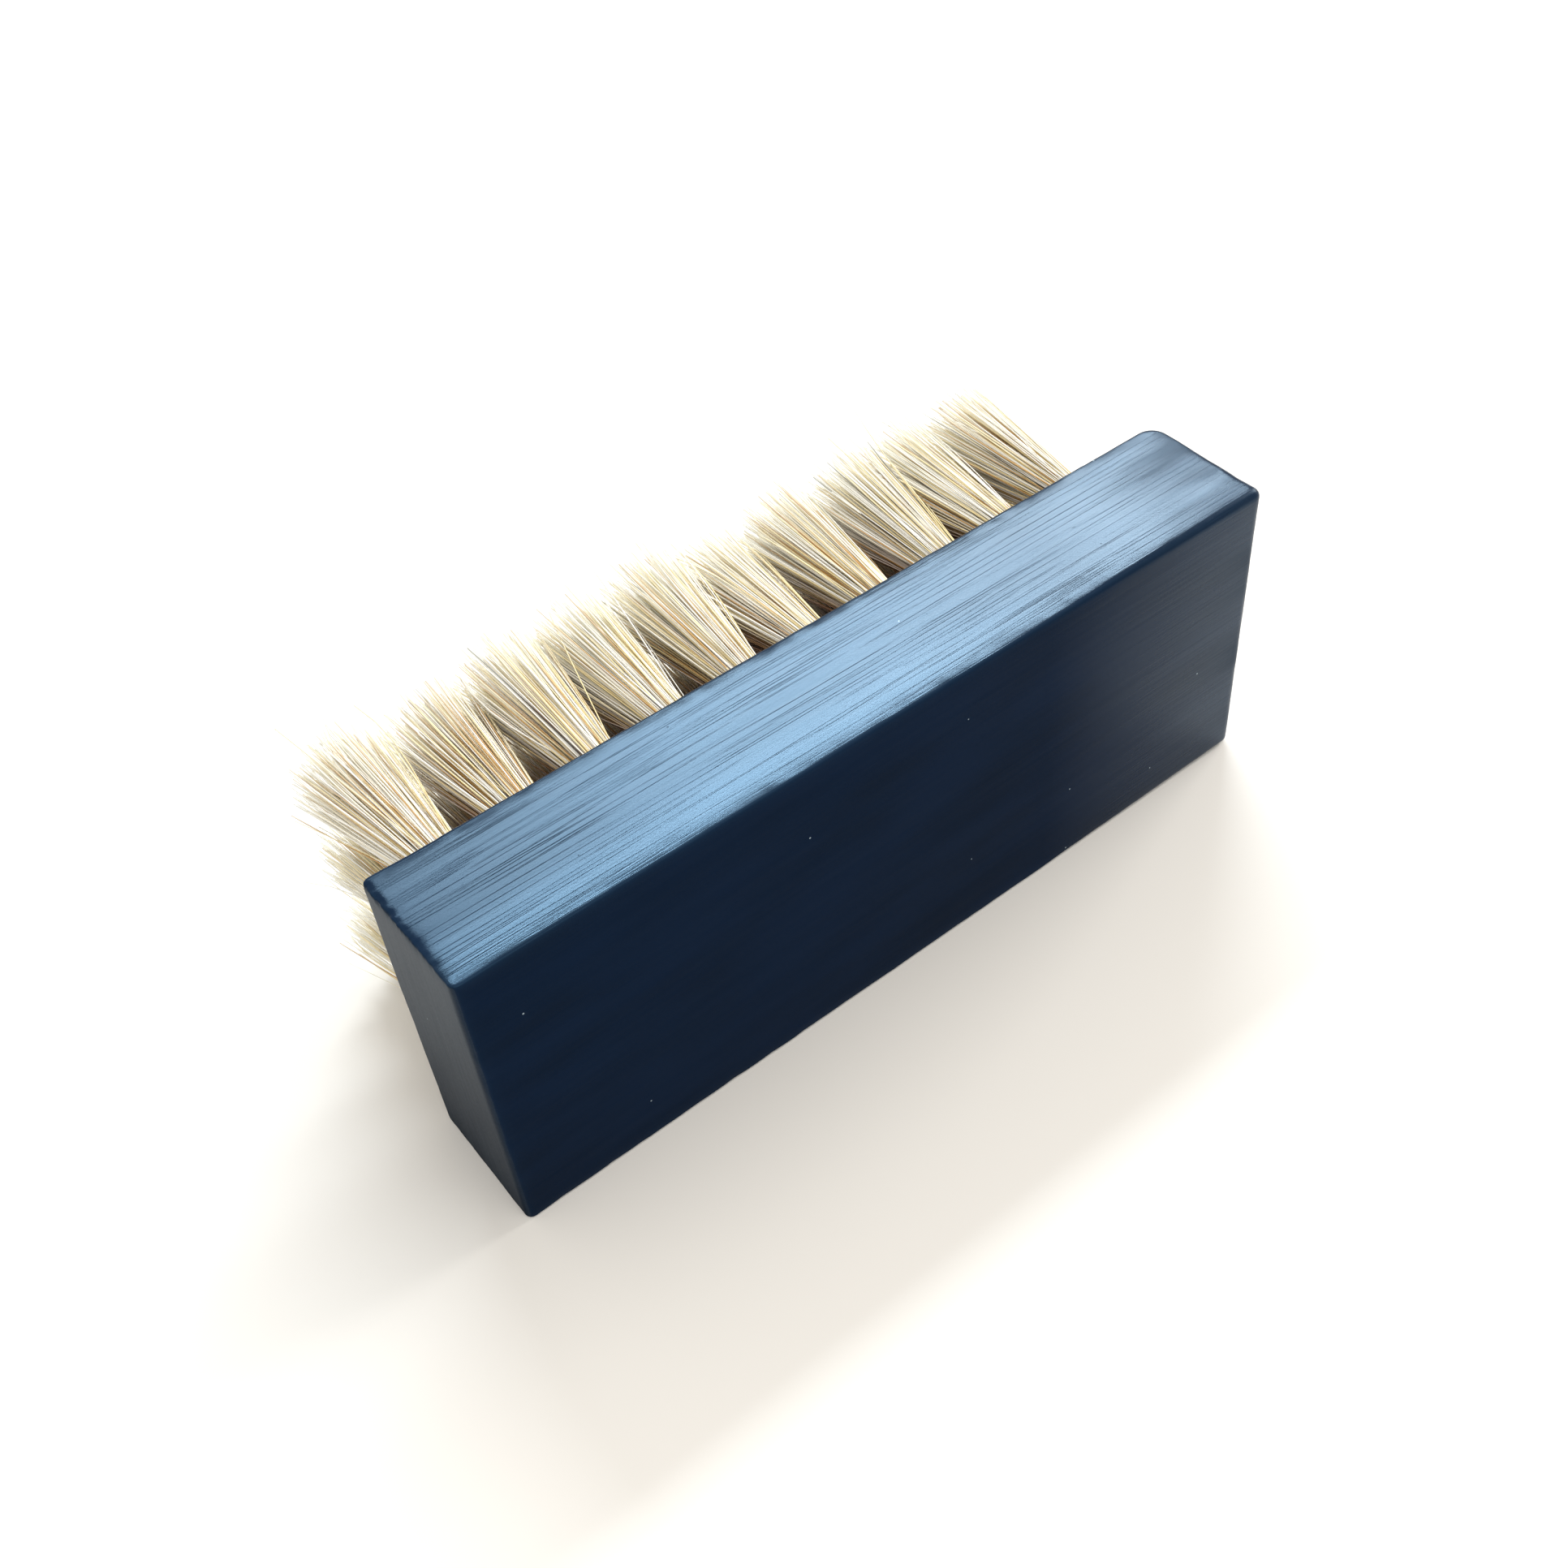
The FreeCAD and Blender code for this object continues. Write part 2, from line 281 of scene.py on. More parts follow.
def painted_sheen_strength(points, normals):
    """How strongly each point reflects, set by where it lies and which way it faces: painted sheen and
    shade.
    """
    share = (points - np.array(BLOCK_LOW)) / np.array(BLOCK_HIGH - BLOCK_LOW)
    facing_back = np.clip(-normals[:, 1] * 1.5 - 0.3, 0, 1)
    facing_sawn_end = np.clip(-normals[:, 0] * 1.5 - 0.3, 0, 1)
    facing_up = np.clip(normals[:, 2], 0, 1)

    # Painted shade: reflection is cut on the back, but not by the sanded end, and on the sawn end, most at
    # the bottom.
    back_shade = facing_back * (1 - np.clip(share[:, 0] * 3.2 - 2.2, 0, 1) ** 1.5)
    sawn_end_shade = facing_sawn_end * (SAWN_LOSS_LOW - (SAWN_LOSS_LOW - SAWN_LOSS_HIGH) * share[:, 2])

    # Painted sheen on top: weaker by the sawn end and over a patch near the sanded end, and stronger along
    # the back edge.
    patch = np.clip(1 - np.abs(share[:, 0] - 0.76) * 4, 0, 1)
    thin = 0.5 * np.clip(1 - share[:, 0] * 3, 0, 1) + 0.26 * patch
    thick = 0.9 * np.clip(1 - share[:, 1] * 2.4, 0, 1) * (1 - share[:, 0])
    return SHEEN * (1 - BACK_LOSS * back_shade) * (1 - sawn_end_shade) * (1 + facing_up * (thick - thin))


def weather(points, away, settings):
    """Move the points as a hand-sanded and hand-painted block's surface lies, within its box."""
    depth = settings.unevenness * (0.5 + 0.5 * uneven(points, FACE_LUMP, 1))
    worn = WEAR_DEPTH * settings.unevenness * edge_nearness(points, WEAR_REACH)
    depth += worn * (0.5 + 0.5 * uneven(points, EDGE_LUMP, 2))
    dented = DENT_DEPTH * settings.unevenness * edge_nearness(points, DENT_REACH)
    depth += dented * np.clip(uneven(points, EDGE_DENT, 5), 0, 1)

    # The saw's bites differ along the edge, run straight across it, and fade out towards the back.
    across = points * [0.3, 1, 0.3]
    bites = np.clip(uneven(across, TEAR_LUMP, 3) * 1.6, 0, 1) + 0.5 * np.abs(uneven(across, TEAR_FIBRE, 4))
    towards_face = np.clip((points[:, 1] - BLOCK_LOW.y) / (FACE_Y - BLOCK_LOW.y) * 1.6 - 0.1, 0, 1)
    depth += settings.tear_depth * torn_nearness(points, TEAR_REACH) * bites * towards_face
    return points - away * depth[:, None]


def drill_shape(settings):
    """A drill's shape for each hole, as one mesh's points and triangles, a little proud of the face."""
    angles = np.arange(DRILL_SIDES) * math.tau / DRILL_SIDES
    radius = settings.hole_width / 2
    x, z = radius * np.cos(angles), radius * np.sin(angles)
    mouth, floor, point = FACE_Y + MM, TUFT_LOW.y, TUFT_LOW.y - settings.hole_cone
    one = np.vstack([
        np.stack([x, np.full(DRILL_SIDES, mouth), z], axis=1),
        np.stack([x, np.full(DRILL_SIDES, floor), z], axis=1),
        [[0, point, 0], [0, mouth, 0]],
    ])
    here, following = np.arange(DRILL_SIDES), (np.arange(DRILL_SIDES) + 1) % DRILL_SIDES
    tip, cap = 2 * DRILL_SIDES, 2 * DRILL_SIDES + 1
    faces = np.vstack([
        np.stack([here, following, following + DRILL_SIDES], axis=1),
        np.stack([here, following + DRILL_SIDES, here + DRILL_SIDES], axis=1),
        np.stack([here + DRILL_SIDES, following + DRILL_SIDES, np.full(DRILL_SIDES, tip)], axis=1),
        np.stack([following, here, np.full(DRILL_SIDES, cap)], axis=1),
    ])
    points, all_faces = [], []
    for number, name in enumerate(TUFTS):
        centre = tuft_centre(name)
        points.append(one + [centre.x, 0, centre.z])
        all_faces.append(faces + number * len(one))
    return np.vstack(points), np.vstack(all_faces)


def tuft_centre(name):
    """The middle of a tuft where it leaves the face."""
    low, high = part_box(name)
    return Vector(((low.x + high.x) / 2, FACE_Y, (low.z + high.z) / 2))


def drilled(piece, cutter):
    """Cut the cutter out of a piece, for good."""
    cut = piece.modifiers.new("holes", "BOOLEAN")
    cut.object = cutter
    cut.solver = "EXACT"
    bpy.context.view_layer.update()
    shape = piece.evaluated_get(bpy.context.evaluated_depsgraph_get())
    mesh = bpy.data.meshes.new_from_object(shape)
    piece.modifiers.clear()
    piece.data = mesh
    bpy.data.objects.remove(cutter)


# ---------------------------------------------------------------- the bristles

# A bristle is a four-sided tube: the steps along each straight leg and round its fold.
LEG_STEPS, BEND_STEPS, SIDES = 7, 4, 4
GOLDEN_ANGLE = math.pi * (3 - math.sqrt(5))

# In its hole a leg strays so far from its even place, and stays so far from the anchor. The shallowest fold
# reaches so far under the anchor, and the deepest stays so far above the hole's floor.
PACKING, WIRE_GAP, LEAST_FOLD, FLOOR_GAP = 0.04 * MM, 0.05 * MM, 0.2 * MM, 0.3 * MM

# About one leg in thirty is a stray, up to LONGEST times as long, and one in seventeen is short.
STRAY_SHARE, STRAY_WANDER, STRAY_BOW, LONGEST = 0.035, 1.9 * MM, 1.2 * MM, 1.09
SHORT_SHARE, SHORTEST, NEARLY_FULL = 0.06, 0.8, 0.97

# The scatter of every leg's bow, the most it leans as a share of its length, and the most it stands proud.
BOW, MOST_LEAN, MOST_PROUD = 0.25 * MM, 0.7, 2 * MM

# How much bristles differ in thickness, what is left of it at the tip, and how near the ground they come.
GIRTH_SCATTER, LEAST_GIRTH, MOST_GIRTH, TIP_TAPER = 0.16, 0.6, 1.5, 0.72
GROUND_GAP = 0.3 * MM


def bundle_places(random, settings):
    """Where the two legs of each bristle stand in the mouth of the hole, from its middle: x and z."""
    count = 2 * settings.bristles
    number = np.arange(count) + 0.5
    radius = (settings.bundle_width - settings.thick_end) / 2 * np.sqrt(number / count)
    angle = number * GOLDEN_ANGLE + random.uniform(0, math.tau)
    places = np.stack([radius * np.cos(angle), radius * np.sin(angle)], axis=1)
    places = places[places[:, 1] > 0]
    clear = (ANCHOR_HIGH.z - ANCHOR_LOW.z + settings.thick_end) / 2 + WIRE_GAP
    near = places * [1, 1] + random.normal(0, PACKING, places.shape)
    far = places * [1, -1] + random.normal(0, PACKING, places.shape)
    near[:, 1] = np.maximum(near[:, 1], clear)
    far[:, 1] = np.minimum(far[:, 1], -clear)
    return near, far


def leg(random, places, lean, settings):
    """The free part of each bristle, from the face to its tip: x, y and z from the hole's mouth."""
    count = len(places)
    spread = settings.tip_width / settings.bundle_width
    out = places * (spread - 1) + random.normal(0, settings.wander, places.shape) + lean
    stray = random.random(count) < STRAY_SHARE
    out += np.where(stray[:, None], random.normal(0, STRAY_WANDER, places.shape), 0)
    bow = random.normal(0, BOW, places.shape)
    bow += np.where(stray[:, None], random.normal(0, STRAY_BOW, places.shape), 0)

    full = TUFT_HIGH.y - FACE_Y
    free = full + random.normal(0, settings.trim_scatter, count)
    short = random.random(count) < SHORT_SHARE
    free = np.where(short, free * random.uniform(SHORTEST, NEARLY_FULL, count), free)
    free = np.where(stray, free * random.uniform(1.0, LONGEST, count), free)
    rise = np.sqrt(free ** 2 - np.minimum(length_of(out), MOST_LEAN * free) ** 2)
    rise = np.minimum(rise, full + MOST_PROUD)

    # The bow is strongest two thirds of the way out, and nothing at either end.
    t = np.linspace(0, 1, LEG_STEPS + 1)[None, :, None]
    flat = places[:, None] + out[:, None] * t + bow[:, None] * (4 * t * (1 - t)) * t
    return np.concatenate([flat[:, :, :1], rise[:, None, None] * t, flat[:, :, 1:]], axis=2)


def bends(near, far):
    """The folded part of each bristle, from one leg to the other round the underside of the anchor."""
    top = ANCHOR_HIGH.y - FACE_Y
    under = ANCHOR_LOW.y - FACE_Y
    deepest = TUFT_LOW.y - FACE_Y
    widest = np.abs(near[:, 1]).max()
    depth = LEAST_FOLD + (under - deepest - FLOOR_GAP) * near[:, 1] / widest
    turn = np.linspace(0, math.pi, BEND_STEPS + 1)[None, :]
    middle, half = (near + far) / 2, (near - far) / 2
    x = middle[:, :1] + half[:, :1] * np.cos(turn)
    z = middle[:, 1:] + half[:, 1:] * np.cos(turn)
    y = under - depth[:, None] * np.sin(turn)
    arc = np.stack([x, y, z], axis=2)
    above = np.full((len(near), 1), top)
    start = np.stack([near[:, :1], above, near[:, 1:]], axis=2)
    end = np.stack([far[:, :1], above, far[:, 1:]], axis=2)
    return np.concatenate([start, arc, end], axis=1)


def bristle_lines(random, settings, centre):
    """The middle line of each bristle, and how far out each of its points is: 0 in the hole, 1 at a tip."""
    near, far = bundle_places(random, settings)
    lean = random.normal(0, settings.lean, 2)
    outermost = centre.x < BLOCK_LOW.x + settings.tip_width
    lean[0] -= settings.end_splay * outermost
    first, last = leg(random, near, lean, settings), leg(random, far, lean, settings)
    lines = np.concatenate([first[:, ::-1], bends(near, far), last], axis=1)
    free = np.linspace(0, 1, LEG_STEPS + 1)
    folded = np.zeros(BEND_STEPS + 3)
    return lines, np.concatenate([free[::-1], folded, free])


def tubes(lines, radii):
    """Round tubes along many lines at once: their points and faces."""
    count, steps = lines.shape[:2]
    forward = np.gradient(lines, axis=1)
    forward /= length_of(forward)[..., None]
    side = np.array([1.0, 0, 0]) - forward[..., :1] * forward
    side /= length_of(side)[..., None]
    other = np.cross(forward, side)
    angles = (np.arange(SIDES) + 0.5) * math.tau / SIDES
    ring = side[:, :, None] * np.cos(angles)[:, None] + other[:, :, None] * np.sin(angles)[:, None]
    points = lines[:, :, None] + ring * radii[:, :, None, None]
    number = np.arange(count * steps * SIDES).reshape(count, steps, SIDES)
    turned = np.roll(number, -1, axis=2)
    walls = np.stack([number[:, :-1], turned[:, :-1], turned[:, 1:], number[:, 1:]], axis=3)
    caps = np.concatenate([number[:, 0, ::-1], number[:, -1]])
    return points.reshape(-1, 3), np.vstack([walls.reshape(-1, 4), caps])


def bake_map(mesh, count, steps):
    """A UV map that lays the bristles side by side, each a strip as long as the map."""
    strand = np.repeat(np.arange(count), steps * SIDES)
    step = np.tile(np.repeat(np.arange(steps), SIDES), count)
    corner = np.tile(np.arange(SIDES), count * steps)
    margin, strip = 0.1, 0.8
    across = (strand + margin + strip * np.abs(corner - SIDES / 2) / (SIDES / 2)) / count
    up = 0.01 + 0.98 * step / (steps - 1)
    vertex = np.zeros(len(mesh.loops), np.int32)
    mesh.loops.foreach_get("vertex_index", vertex)
    layer = mesh.uv_layers.new(name="OFBake")
    layer.uv.foreach_set("vector", np.stack([across[vertex], up[vertex]], axis=1).ravel())


def painted_shade_depth(points, along):
    """1 deep among the tufts by the face, where painted shade darkens the bristles, and 0 outside and at
    tips.
    """
    below_top = np.clip((BLOCK_HIGH.z - 7.5 * MM - points[:, 2]) / (2.5 * MM), 0, 1)
    from_end = np.clip((BLOCK_HIGH.x - np.abs(points[:, 0]) - 13 * MM) / (4 * MM), 0, 1)
    return below_top * from_end * np.clip(1.7 - 1.8 * along, 0, 1)


def make_tuft(name, number, material, settings):
    """One tuft's bristles, standing for its CAD solid."""
    random = np.random.default_rng(1000 + number)
    centre = tuft_centre(name)
    lines, along = bristle_lines(random, settings, centre)
    count, steps = lines.shape[:2]
    lines = lines + np.array(centre)
    lines[..., 2] = np.maximum(lines[..., 2], BLOCK_LOW.z + GROUND_GAP)

    # A bristle tapers from its butt to its split end, and half of them are folded in the other way round.
    thick, thin = settings.thick_end / 2, settings.thin_end / 2
    share = np.linspace(0, 1, steps)
    share = np.where(random.random((count, 1)) < 0.5, share, 1 - share)
    girth = random.normal(1, GIRTH_SCATTER, (count, 1)).clip(LEAST_GIRTH, MOST_GIRTH)
    radii = (thick + (thin - thick) * share) * girth
    radii *= np.where(along > 0.99, TIP_TAPER, 1)

    points, faces = tubes(lines, radii)
    piece = make_piece(name.replace("tuft", "bristles"), points, faces, material)
    tone = random.random(count)
    along = np.tile(np.repeat(along, SIDES), count)
    give_values(piece.data, "tone", np.repeat(tone, steps * SIDES))
    give_values(piece.data, "along", along)
    # Painted shade: how far each point lies deep among the tufts by the face.
    give_values(piece.data, "painted_shade", painted_shade_depth(points, along))
    bake_map(piece.data, count, steps)
    return piece


# ---------------------------------------------------------------- materials


def new_material(name):
    """An empty node material and the node tree in it."""
    material = bpy.data.materials.new(name)
    material.use_nodes = True
    material.node_tree.nodes.clear()
    return material, material.node_tree


def node(tree, kind, inputs=None, **settings):
    """Add a node. An input, by its name or place, is given a value or the node or socket that feeds it."""
    made = tree.nodes.new(kind)
    for name, value in settings.items():
        setattr(made, name, value)
    open_inputs = [socket for socket in made.inputs if socket.enabled]
    for name, value in (inputs or {}).items():
        if isinstance(name, int):
            socket = open_inputs[name]
        else:
            socket = next(socket for socket in open_inputs if socket.name == name)
        if isinstance(value, bpy.types.Node):
            value = next(output for output in value.outputs if output.enabled)
        if isinstance(value, bpy.types.NodeSocket):
            tree.links.new(value, socket)
        else:
            socket.default_value = value
    return made


def per(millimetres):
    """The scale, in places given in metres, of a pattern that repeats about once in so many millimetres."""
    return 1 / (millimetres * MM)


def enamel_on_wood(settings):
    """Satin enamel brushed by hand on sanded beech.

    The eye gets a nearly black navy, a broad sheen broken into fine furrows along the block by the brush
    and the grain, and dust nibs. The sheen has a painted cool tint, and its strength is painted by place:
    stronger along the back edge of the top, faint on the back and fainter low on the sawn end, as painted
    shade. The end grain that soaked up the paint is rougher and greyer. The marks of a real brush are finer
    than 0.3 mm, and are drawn as coarse as they need to show.
    """
    material, tree = new_material("navy_satin_enamel_brushed_on_beech")
    place = node(tree, "ShaderNodeTexCoord").outputs["Object"]
    end_grain = node(tree, "ShaderNodeAttribute", attribute_name="end_grain").outputs["Fac"]
    edge = node(tree, "ShaderNodeAttribute", attribute_name="edge").outputs["Fac"]
    rubbed = node(tree, "ShaderNodeAttribute", attribute_name="rubbed").outputs["Fac"]
    worn_end = node(tree, "ShaderNodeAttribute", attribute_name="worn_end").outputs["Fac"]
    painted_sheen = node(tree, "ShaderNodeAttribute", attribute_name="painted_sheen").outputs["Fac"]

    # Each pattern's lumps are so many millimetres long along X, Y and Z.
    sizes = {
        "furrows": (50, 0.9, 0.9),
        "bristle_marks": (20, 0.3, 0.3),
        "broad_strokes": (80, 2.4, 2.4),
        "end_fibres": (0.6, 0.5, 11),
        "patches": (24, 7, 7),
        "skin": (0.3, 0.22, 0.22),
        "ripples": (0.55, 1.1, 1.1),
        "nibs": (1.0, 0.7, 0.7),
    }
    pattern = {}
    for name, size in sizes.items():
        scale = [per(length) for length in size]
        stretched = node(tree, "ShaderNodeMapping", {"Vector": place, "Scale": scale})
        pattern[name] = node(tree, "ShaderNodeTexNoise", {"Vector": stretched, "Scale": 1.0, "Detail": 2.0})

    # A furrow is a thin dark line where the noise passes its middle value, deeper in some patches.
    off_middle = node(tree, "ShaderNodeMath", {0: pattern["furrows"], 1: 0.5}, operation="SUBTRACT")
    off_middle = node(tree, "ShaderNodeMath", {0: off_middle}, operation="ABSOLUTE")
    furrow = node(tree, "ShaderNodeMapRange", {
        "Value": off_middle, "From Max": 0.035, "To Min": -0.9, "To Max": 0.0})
    strength = node(tree, "ShaderNodeMapRange", {
        "Value": pattern["patches"], "From Min": 0.38, "From Max": 0.6, "To Min": 0.45, "To Max": 0.9})
    furrow = node(tree, "ShaderNodeMath", {0: furrow, 1: strength}, operation="MULTIPLY")

    # The height on the long faces: furrows, bristle marks, broad brush strokes and, where rubbed, ripples.
    marks = node(tree, "ShaderNodeMath", {
        0: pattern["bristle_marks"], 1: strength, 2: furrow}, operation="MULTIPLY_ADD")
    marks = node(tree, "ShaderNodeMath", {
        0: pattern["broad_strokes"], 1: 0.15, 2: marks}, operation="MULTIPLY_ADD")
    ripple = node(tree, "ShaderNodeMath", {0: pattern["ripples"], 1: rubbed}, operation="MULTIPLY")
    marks = node(tree, "ShaderNodeMath", {0: ripple, 1: 0.9, 2: marks}, operation="MULTIPLY_ADD")

    # On the ends the fibres stand up instead. The skin of the paint and dust nibs under it are everywhere.
    fibres = node(tree, "ShaderNodeMath", {0: pattern["end_fibres"], 1: 1.6}, operation="MULTIPLY")
    height = node(tree, "ShaderNodeMix", {"Factor": end_grain, "A": marks, "B": fibres})
    height = node(tree, "ShaderNodeMath", {0: pattern["skin"], 1: 0.6, 2: height}, operation="MULTIPLY_ADD")
    nib = node(tree, "ShaderNodeMapRange", {"Value": pattern["nibs"], "From Min": 0.78, "From Max": 0.84})
    height = node(tree, "ShaderNodeMath", {0: nib, 1: 1.5, 2: height}, operation="MULTIPLY_ADD")
    bump = node(tree, "ShaderNodeBump", {"Height": height, "Distance": 0.0065 * MM})

    # Bristle marks dull the paint a little, handling dulls it in patches, and end grain dulls it most.
    side_rough = node(tree, "ShaderNodeMapRange", {
        "Value": pattern["bristle_marks"],
        "From Min": 0.3, "From Max": 0.7, "To Min": 0.16, "To Max": 0.23})
    handled = node(tree, "ShaderNodeMapRange", {
        "Value": pattern["patches"], "From Min": 0.3, "From Max": 0.7})
    handled = node(tree, "ShaderNodeMath", {0: handled, 1: worn_end}, operation="MULTIPLY")
    side_rough = node(tree, "ShaderNodeMath", {
        0: handled, 1: 0.35, 2: side_rough}, operation="MULTIPLY_ADD")
    rough = node(tree, "ShaderNodeMix", {"Factor": end_grain, "A": side_rough, "B": 0.5})
    streak = node(tree, "ShaderNodeMapRange", {
        "Value": pattern["bristle_marks"],
        "From Min": 0.35, "From Max": 0.65, "To Min": 0.8, "To Max": 1.12})
    # The painted sheen strength, broken by the bristle marks, sets how strongly the enamel reflects.
    streaked = node(tree, "ShaderNodeMath", {0: painted_sheen, 1: streak}, operation="MULTIPLY")

    # The colour is deeper in patches, paler on worn edges, and greyer and uneven on the dry end grain.
    deep_share = node(tree, "ShaderNodeMapRange", {
        "Value": pattern["patches"], "From Min": 0.4, "From Max": 0.75, "To Max": 0.6})
    deep = node(tree, "ShaderNodeMix", {
        "Factor": deep_share, "A": [*settings.paint, 1], "B": [*linear("#081423"), 1]}, data_type="RGBA")
    worn_share = node(tree, "ShaderNodeMath", {0: edge, 1: 0.3}, operation="MULTIPLY")
    worn = node(tree, "ShaderNodeMix", {
        "Factor": worn_share, "A": deep, "B": [*linear("#2B4058"), 1]}, data_type="RGBA")
    dry_share = node(tree, "ShaderNodeMapRange", {
        "Value": pattern["end_fibres"], "From Min": 0.35, "From Max": 0.7})
    dry = node(tree, "ShaderNodeMix", {
        "Factor": dry_share, "A": [*settings.end_paint, 1], "B": [*linear("#202A35"), 1]}, data_type="RGBA")
    colour = node(tree, "ShaderNodeMix", {"Factor": end_grain, "A": worn, "B": dry}, data_type="RGBA")

    # Dust caught in the paint: specks 0.2 mm wide, where the middle of a 5 mm cell happens to lie there.
    dust = node(tree, "ShaderNodeTexVoronoi", {"Vector": place, "Scale": per(5), "Randomness": 1.0})
    speck = node(tree, "ShaderNodeMapRange", {
        "Value": dust.outputs["Distance"],
        "From Min": 0.018, "From Max": 0.026, "To Min": 0.75, "To Max": 0.0})
    colour = node(tree, "ShaderNodeMix", {
        "Factor": speck, "A": colour, "B": [*linear("#A9BAC4"), 1]}, data_type="RGBA")

    # The blue specular tint is painted light: it makes every reflection cool, as a bluish window would,
    # though the lamps are nearly white.
    surface = node(tree, "ShaderNodeBsdfPrincipled", {
        "Base Color": colour, "Roughness": rough, "Normal": bump,
        "IOR": 1.5, "Specular IOR Level": streaked, "Specular Tint": [0.32, 0.67, 1, 1]})
    node(tree, "ShaderNodeOutputMaterial", {"Surface": surface})
    return material


def hog_bristle(settings):
    """Undyed hog bristle, washed and straightened.

    The eye gets pale glossy straws, a few honey, tan and nearly black among them, browner towards the hole
    as painted shade, dark brown deep between the tufts as painted shade too, and bleached at the split
    tips.
    """
    material, tree = new_material("undyed_hog_bristle_washed")
    tone = node(tree, "ShaderNodeAttribute", attribute_name="tone").outputs["Fac"]
    along = node(tree, "ShaderNodeAttribute", attribute_name="along").outputs["Fac"]
    painted_shade = node(tree, "ShaderNodeAttribute", attribute_name="painted_shade").outputs["Fac"]

    # Each bristle has a tone from 0 to 1, which picks its shade from the ramp.
    ramp = node(tree, "ShaderNodeValToRGB", {"Fac": tone})
    shades = ((0.0, settings.dark), (0.01, settings.dark), (0.014, settings.tan), (0.1, settings.tan),
              (0.18, settings.honey), (0.36, settings.honey), (0.56, settings.pale))
    while len(ramp.color_ramp.elements) < len(shades):
        ramp.color_ramp.elements.new(0.5)
    for element, (place, shade) in zip(ramp.color_ramp.elements, shades):
        element.position = place
        element.color = [*shade, 1]

    tip = node(tree, "ShaderNodeMapRange", {
        "Value": along, "From Min": 0.55, "From Max": 1.0, "To Max": 0.5})
    bleached = node(tree, "ShaderNodeMix", {
        "Factor": tip, "A": ramp, "B": [*linear("#FFFEF2"), 1]}, data_type="RGBA")
    # Painted shade: each bristle is browner near the face, standing in for the shade where the tufts crowd
    # at the block.
    root = node(tree, "ShaderNodeMapRange", {
        "Value": along, "From Min": 0.0, "From Max": 0.22, "To Min": 0.6, "To Max": 0.0})
    root_shaded = node(tree, "ShaderNodeMix", {
        "Factor": root, "A": bleached, "B": [*linear("#A8793F"), 1]}, data_type="RGBA")
    # Painted shade: bristles deep between the tufts by the face turn dark brown, standing in for the shade
    # there.
    painted_shade_share = node(tree, "ShaderNodeMath", {0: painted_shade, 1: 0.96}, operation="MULTIPLY")
    colour = node(tree, "ShaderNodeMix", {
        "Factor": painted_shade_share, "A": root_shaded, "B": [*linear("#824C22"), 1]}, data_type="RGBA")
    surface = node(tree, "ShaderNodeBsdfPrincipled", {"Base Color": colour, "Roughness": 0.36, "IOR": 1.55})
    node(tree, "ShaderNodeOutputMaterial", {"Surface": surface})
    return material


def tinned_wire(settings):
    """Flat steel wire, drawn and tinned: bright, with fine lines along it."""
    material, tree = new_material("tinned_steel_wire_drawn_flat")
    place = node(tree, "ShaderNodeTexCoord").outputs["Object"]
    stretched = node(tree, "ShaderNodeMapping", {"Vector": place, "Scale": [per(4), per(0.08), per(0.08)]})
    lines = node(tree, "ShaderNodeTexNoise", {"Vector": stretched, "Scale": 1.0, "Detail": 2.0})
    rough = node(tree, "ShaderNodeMapRange", {"Value": lines, "To Min": 0.22, "To Max": 0.42})
    bump = node(tree, "ShaderNodeBump", {"Height": lines, "Distance": 0.004 * MM})
    surface = node(tree, "ShaderNodeBsdfPrincipled", {
        "Base Color": [*settings.wire, 1], "Metallic": 1.0, "Roughness": rough, "Normal": bump})
    node(tree, "ShaderNodeOutputMaterial", {"Surface": surface})
    return material


def pale_floor(settings):
    """Smooth matt board, painted white. It keeps the soft shadow, and is plain white where it is lit."""
    material, tree = new_material("white_matt_board")
    surface = node(tree, "ShaderNodeBsdfDiffuse", {"Color": [*settings.floor, 1]})
    node(tree, "ShaderNodeOutputMaterial", {"Surface": surface})
    return material


# ---------------------------------------------------------------- operators


class BRUSH_OT_block(bpy.types.Operator):
    """Make the painted wooden block with its thirty blind holes"""

    bl_idname = "brush.block"
    bl_label = "Make the block"

    def execute(self, context):
        settings = context.scene.brush_block
        axes = [stops(*ends) for ends in zip(BLOCK_LOW, BLOCK_HIGH, COARSE_STEPS)]
        points, faces = box_shell(axes)
        points, away = round_off(points, settings)
        points = weather(points, away, settings)
        paint = enamel_on_wood(settings)
        block = make_piece("painted_block", points, faces, paint)
        drilled(block, make_piece("drill", *drill_shape(settings), paint, smooth=False))
        points, normals = points_of(block.data), points_of(block.data, "normal")
        give_values(block.data, "end_grain", end_grain_share(points, normals))
        give_values(block.data, "edge", edge_nearness(points, 0.5 * MM))
        give_values(block.data, "rubbed", rubbed_nearness(points))
        give_values(block.data, "worn_end", handled_nearness(points))
        # Painted sheen and shade: how strongly each point reflects, by where it lies and which way it
        # faces.
        give_values(block.data, "painted_sheen", painted_sheen_strength(points, normals))
        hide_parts("brush_block")
        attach(block, "root")
        return {"FINISHED"}


class BRUSH_OT_tufts(bpy.types.Operator):
    """Make the bristles of every tuft, each bristle folded round its anchor"""

    bl_idname = "brush.tufts"
    bl_label = "Make the tufts"

    def execute(self, context):
        settings = context.scene.brush_tufts
        bristle = hog_bristle(settings)
        for number, name in enumerate(TUFTS):
            tuft = make_tuft(name, number, bristle, settings)
            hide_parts(name)
            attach(tuft, "root")
        return {"FINISHED"}


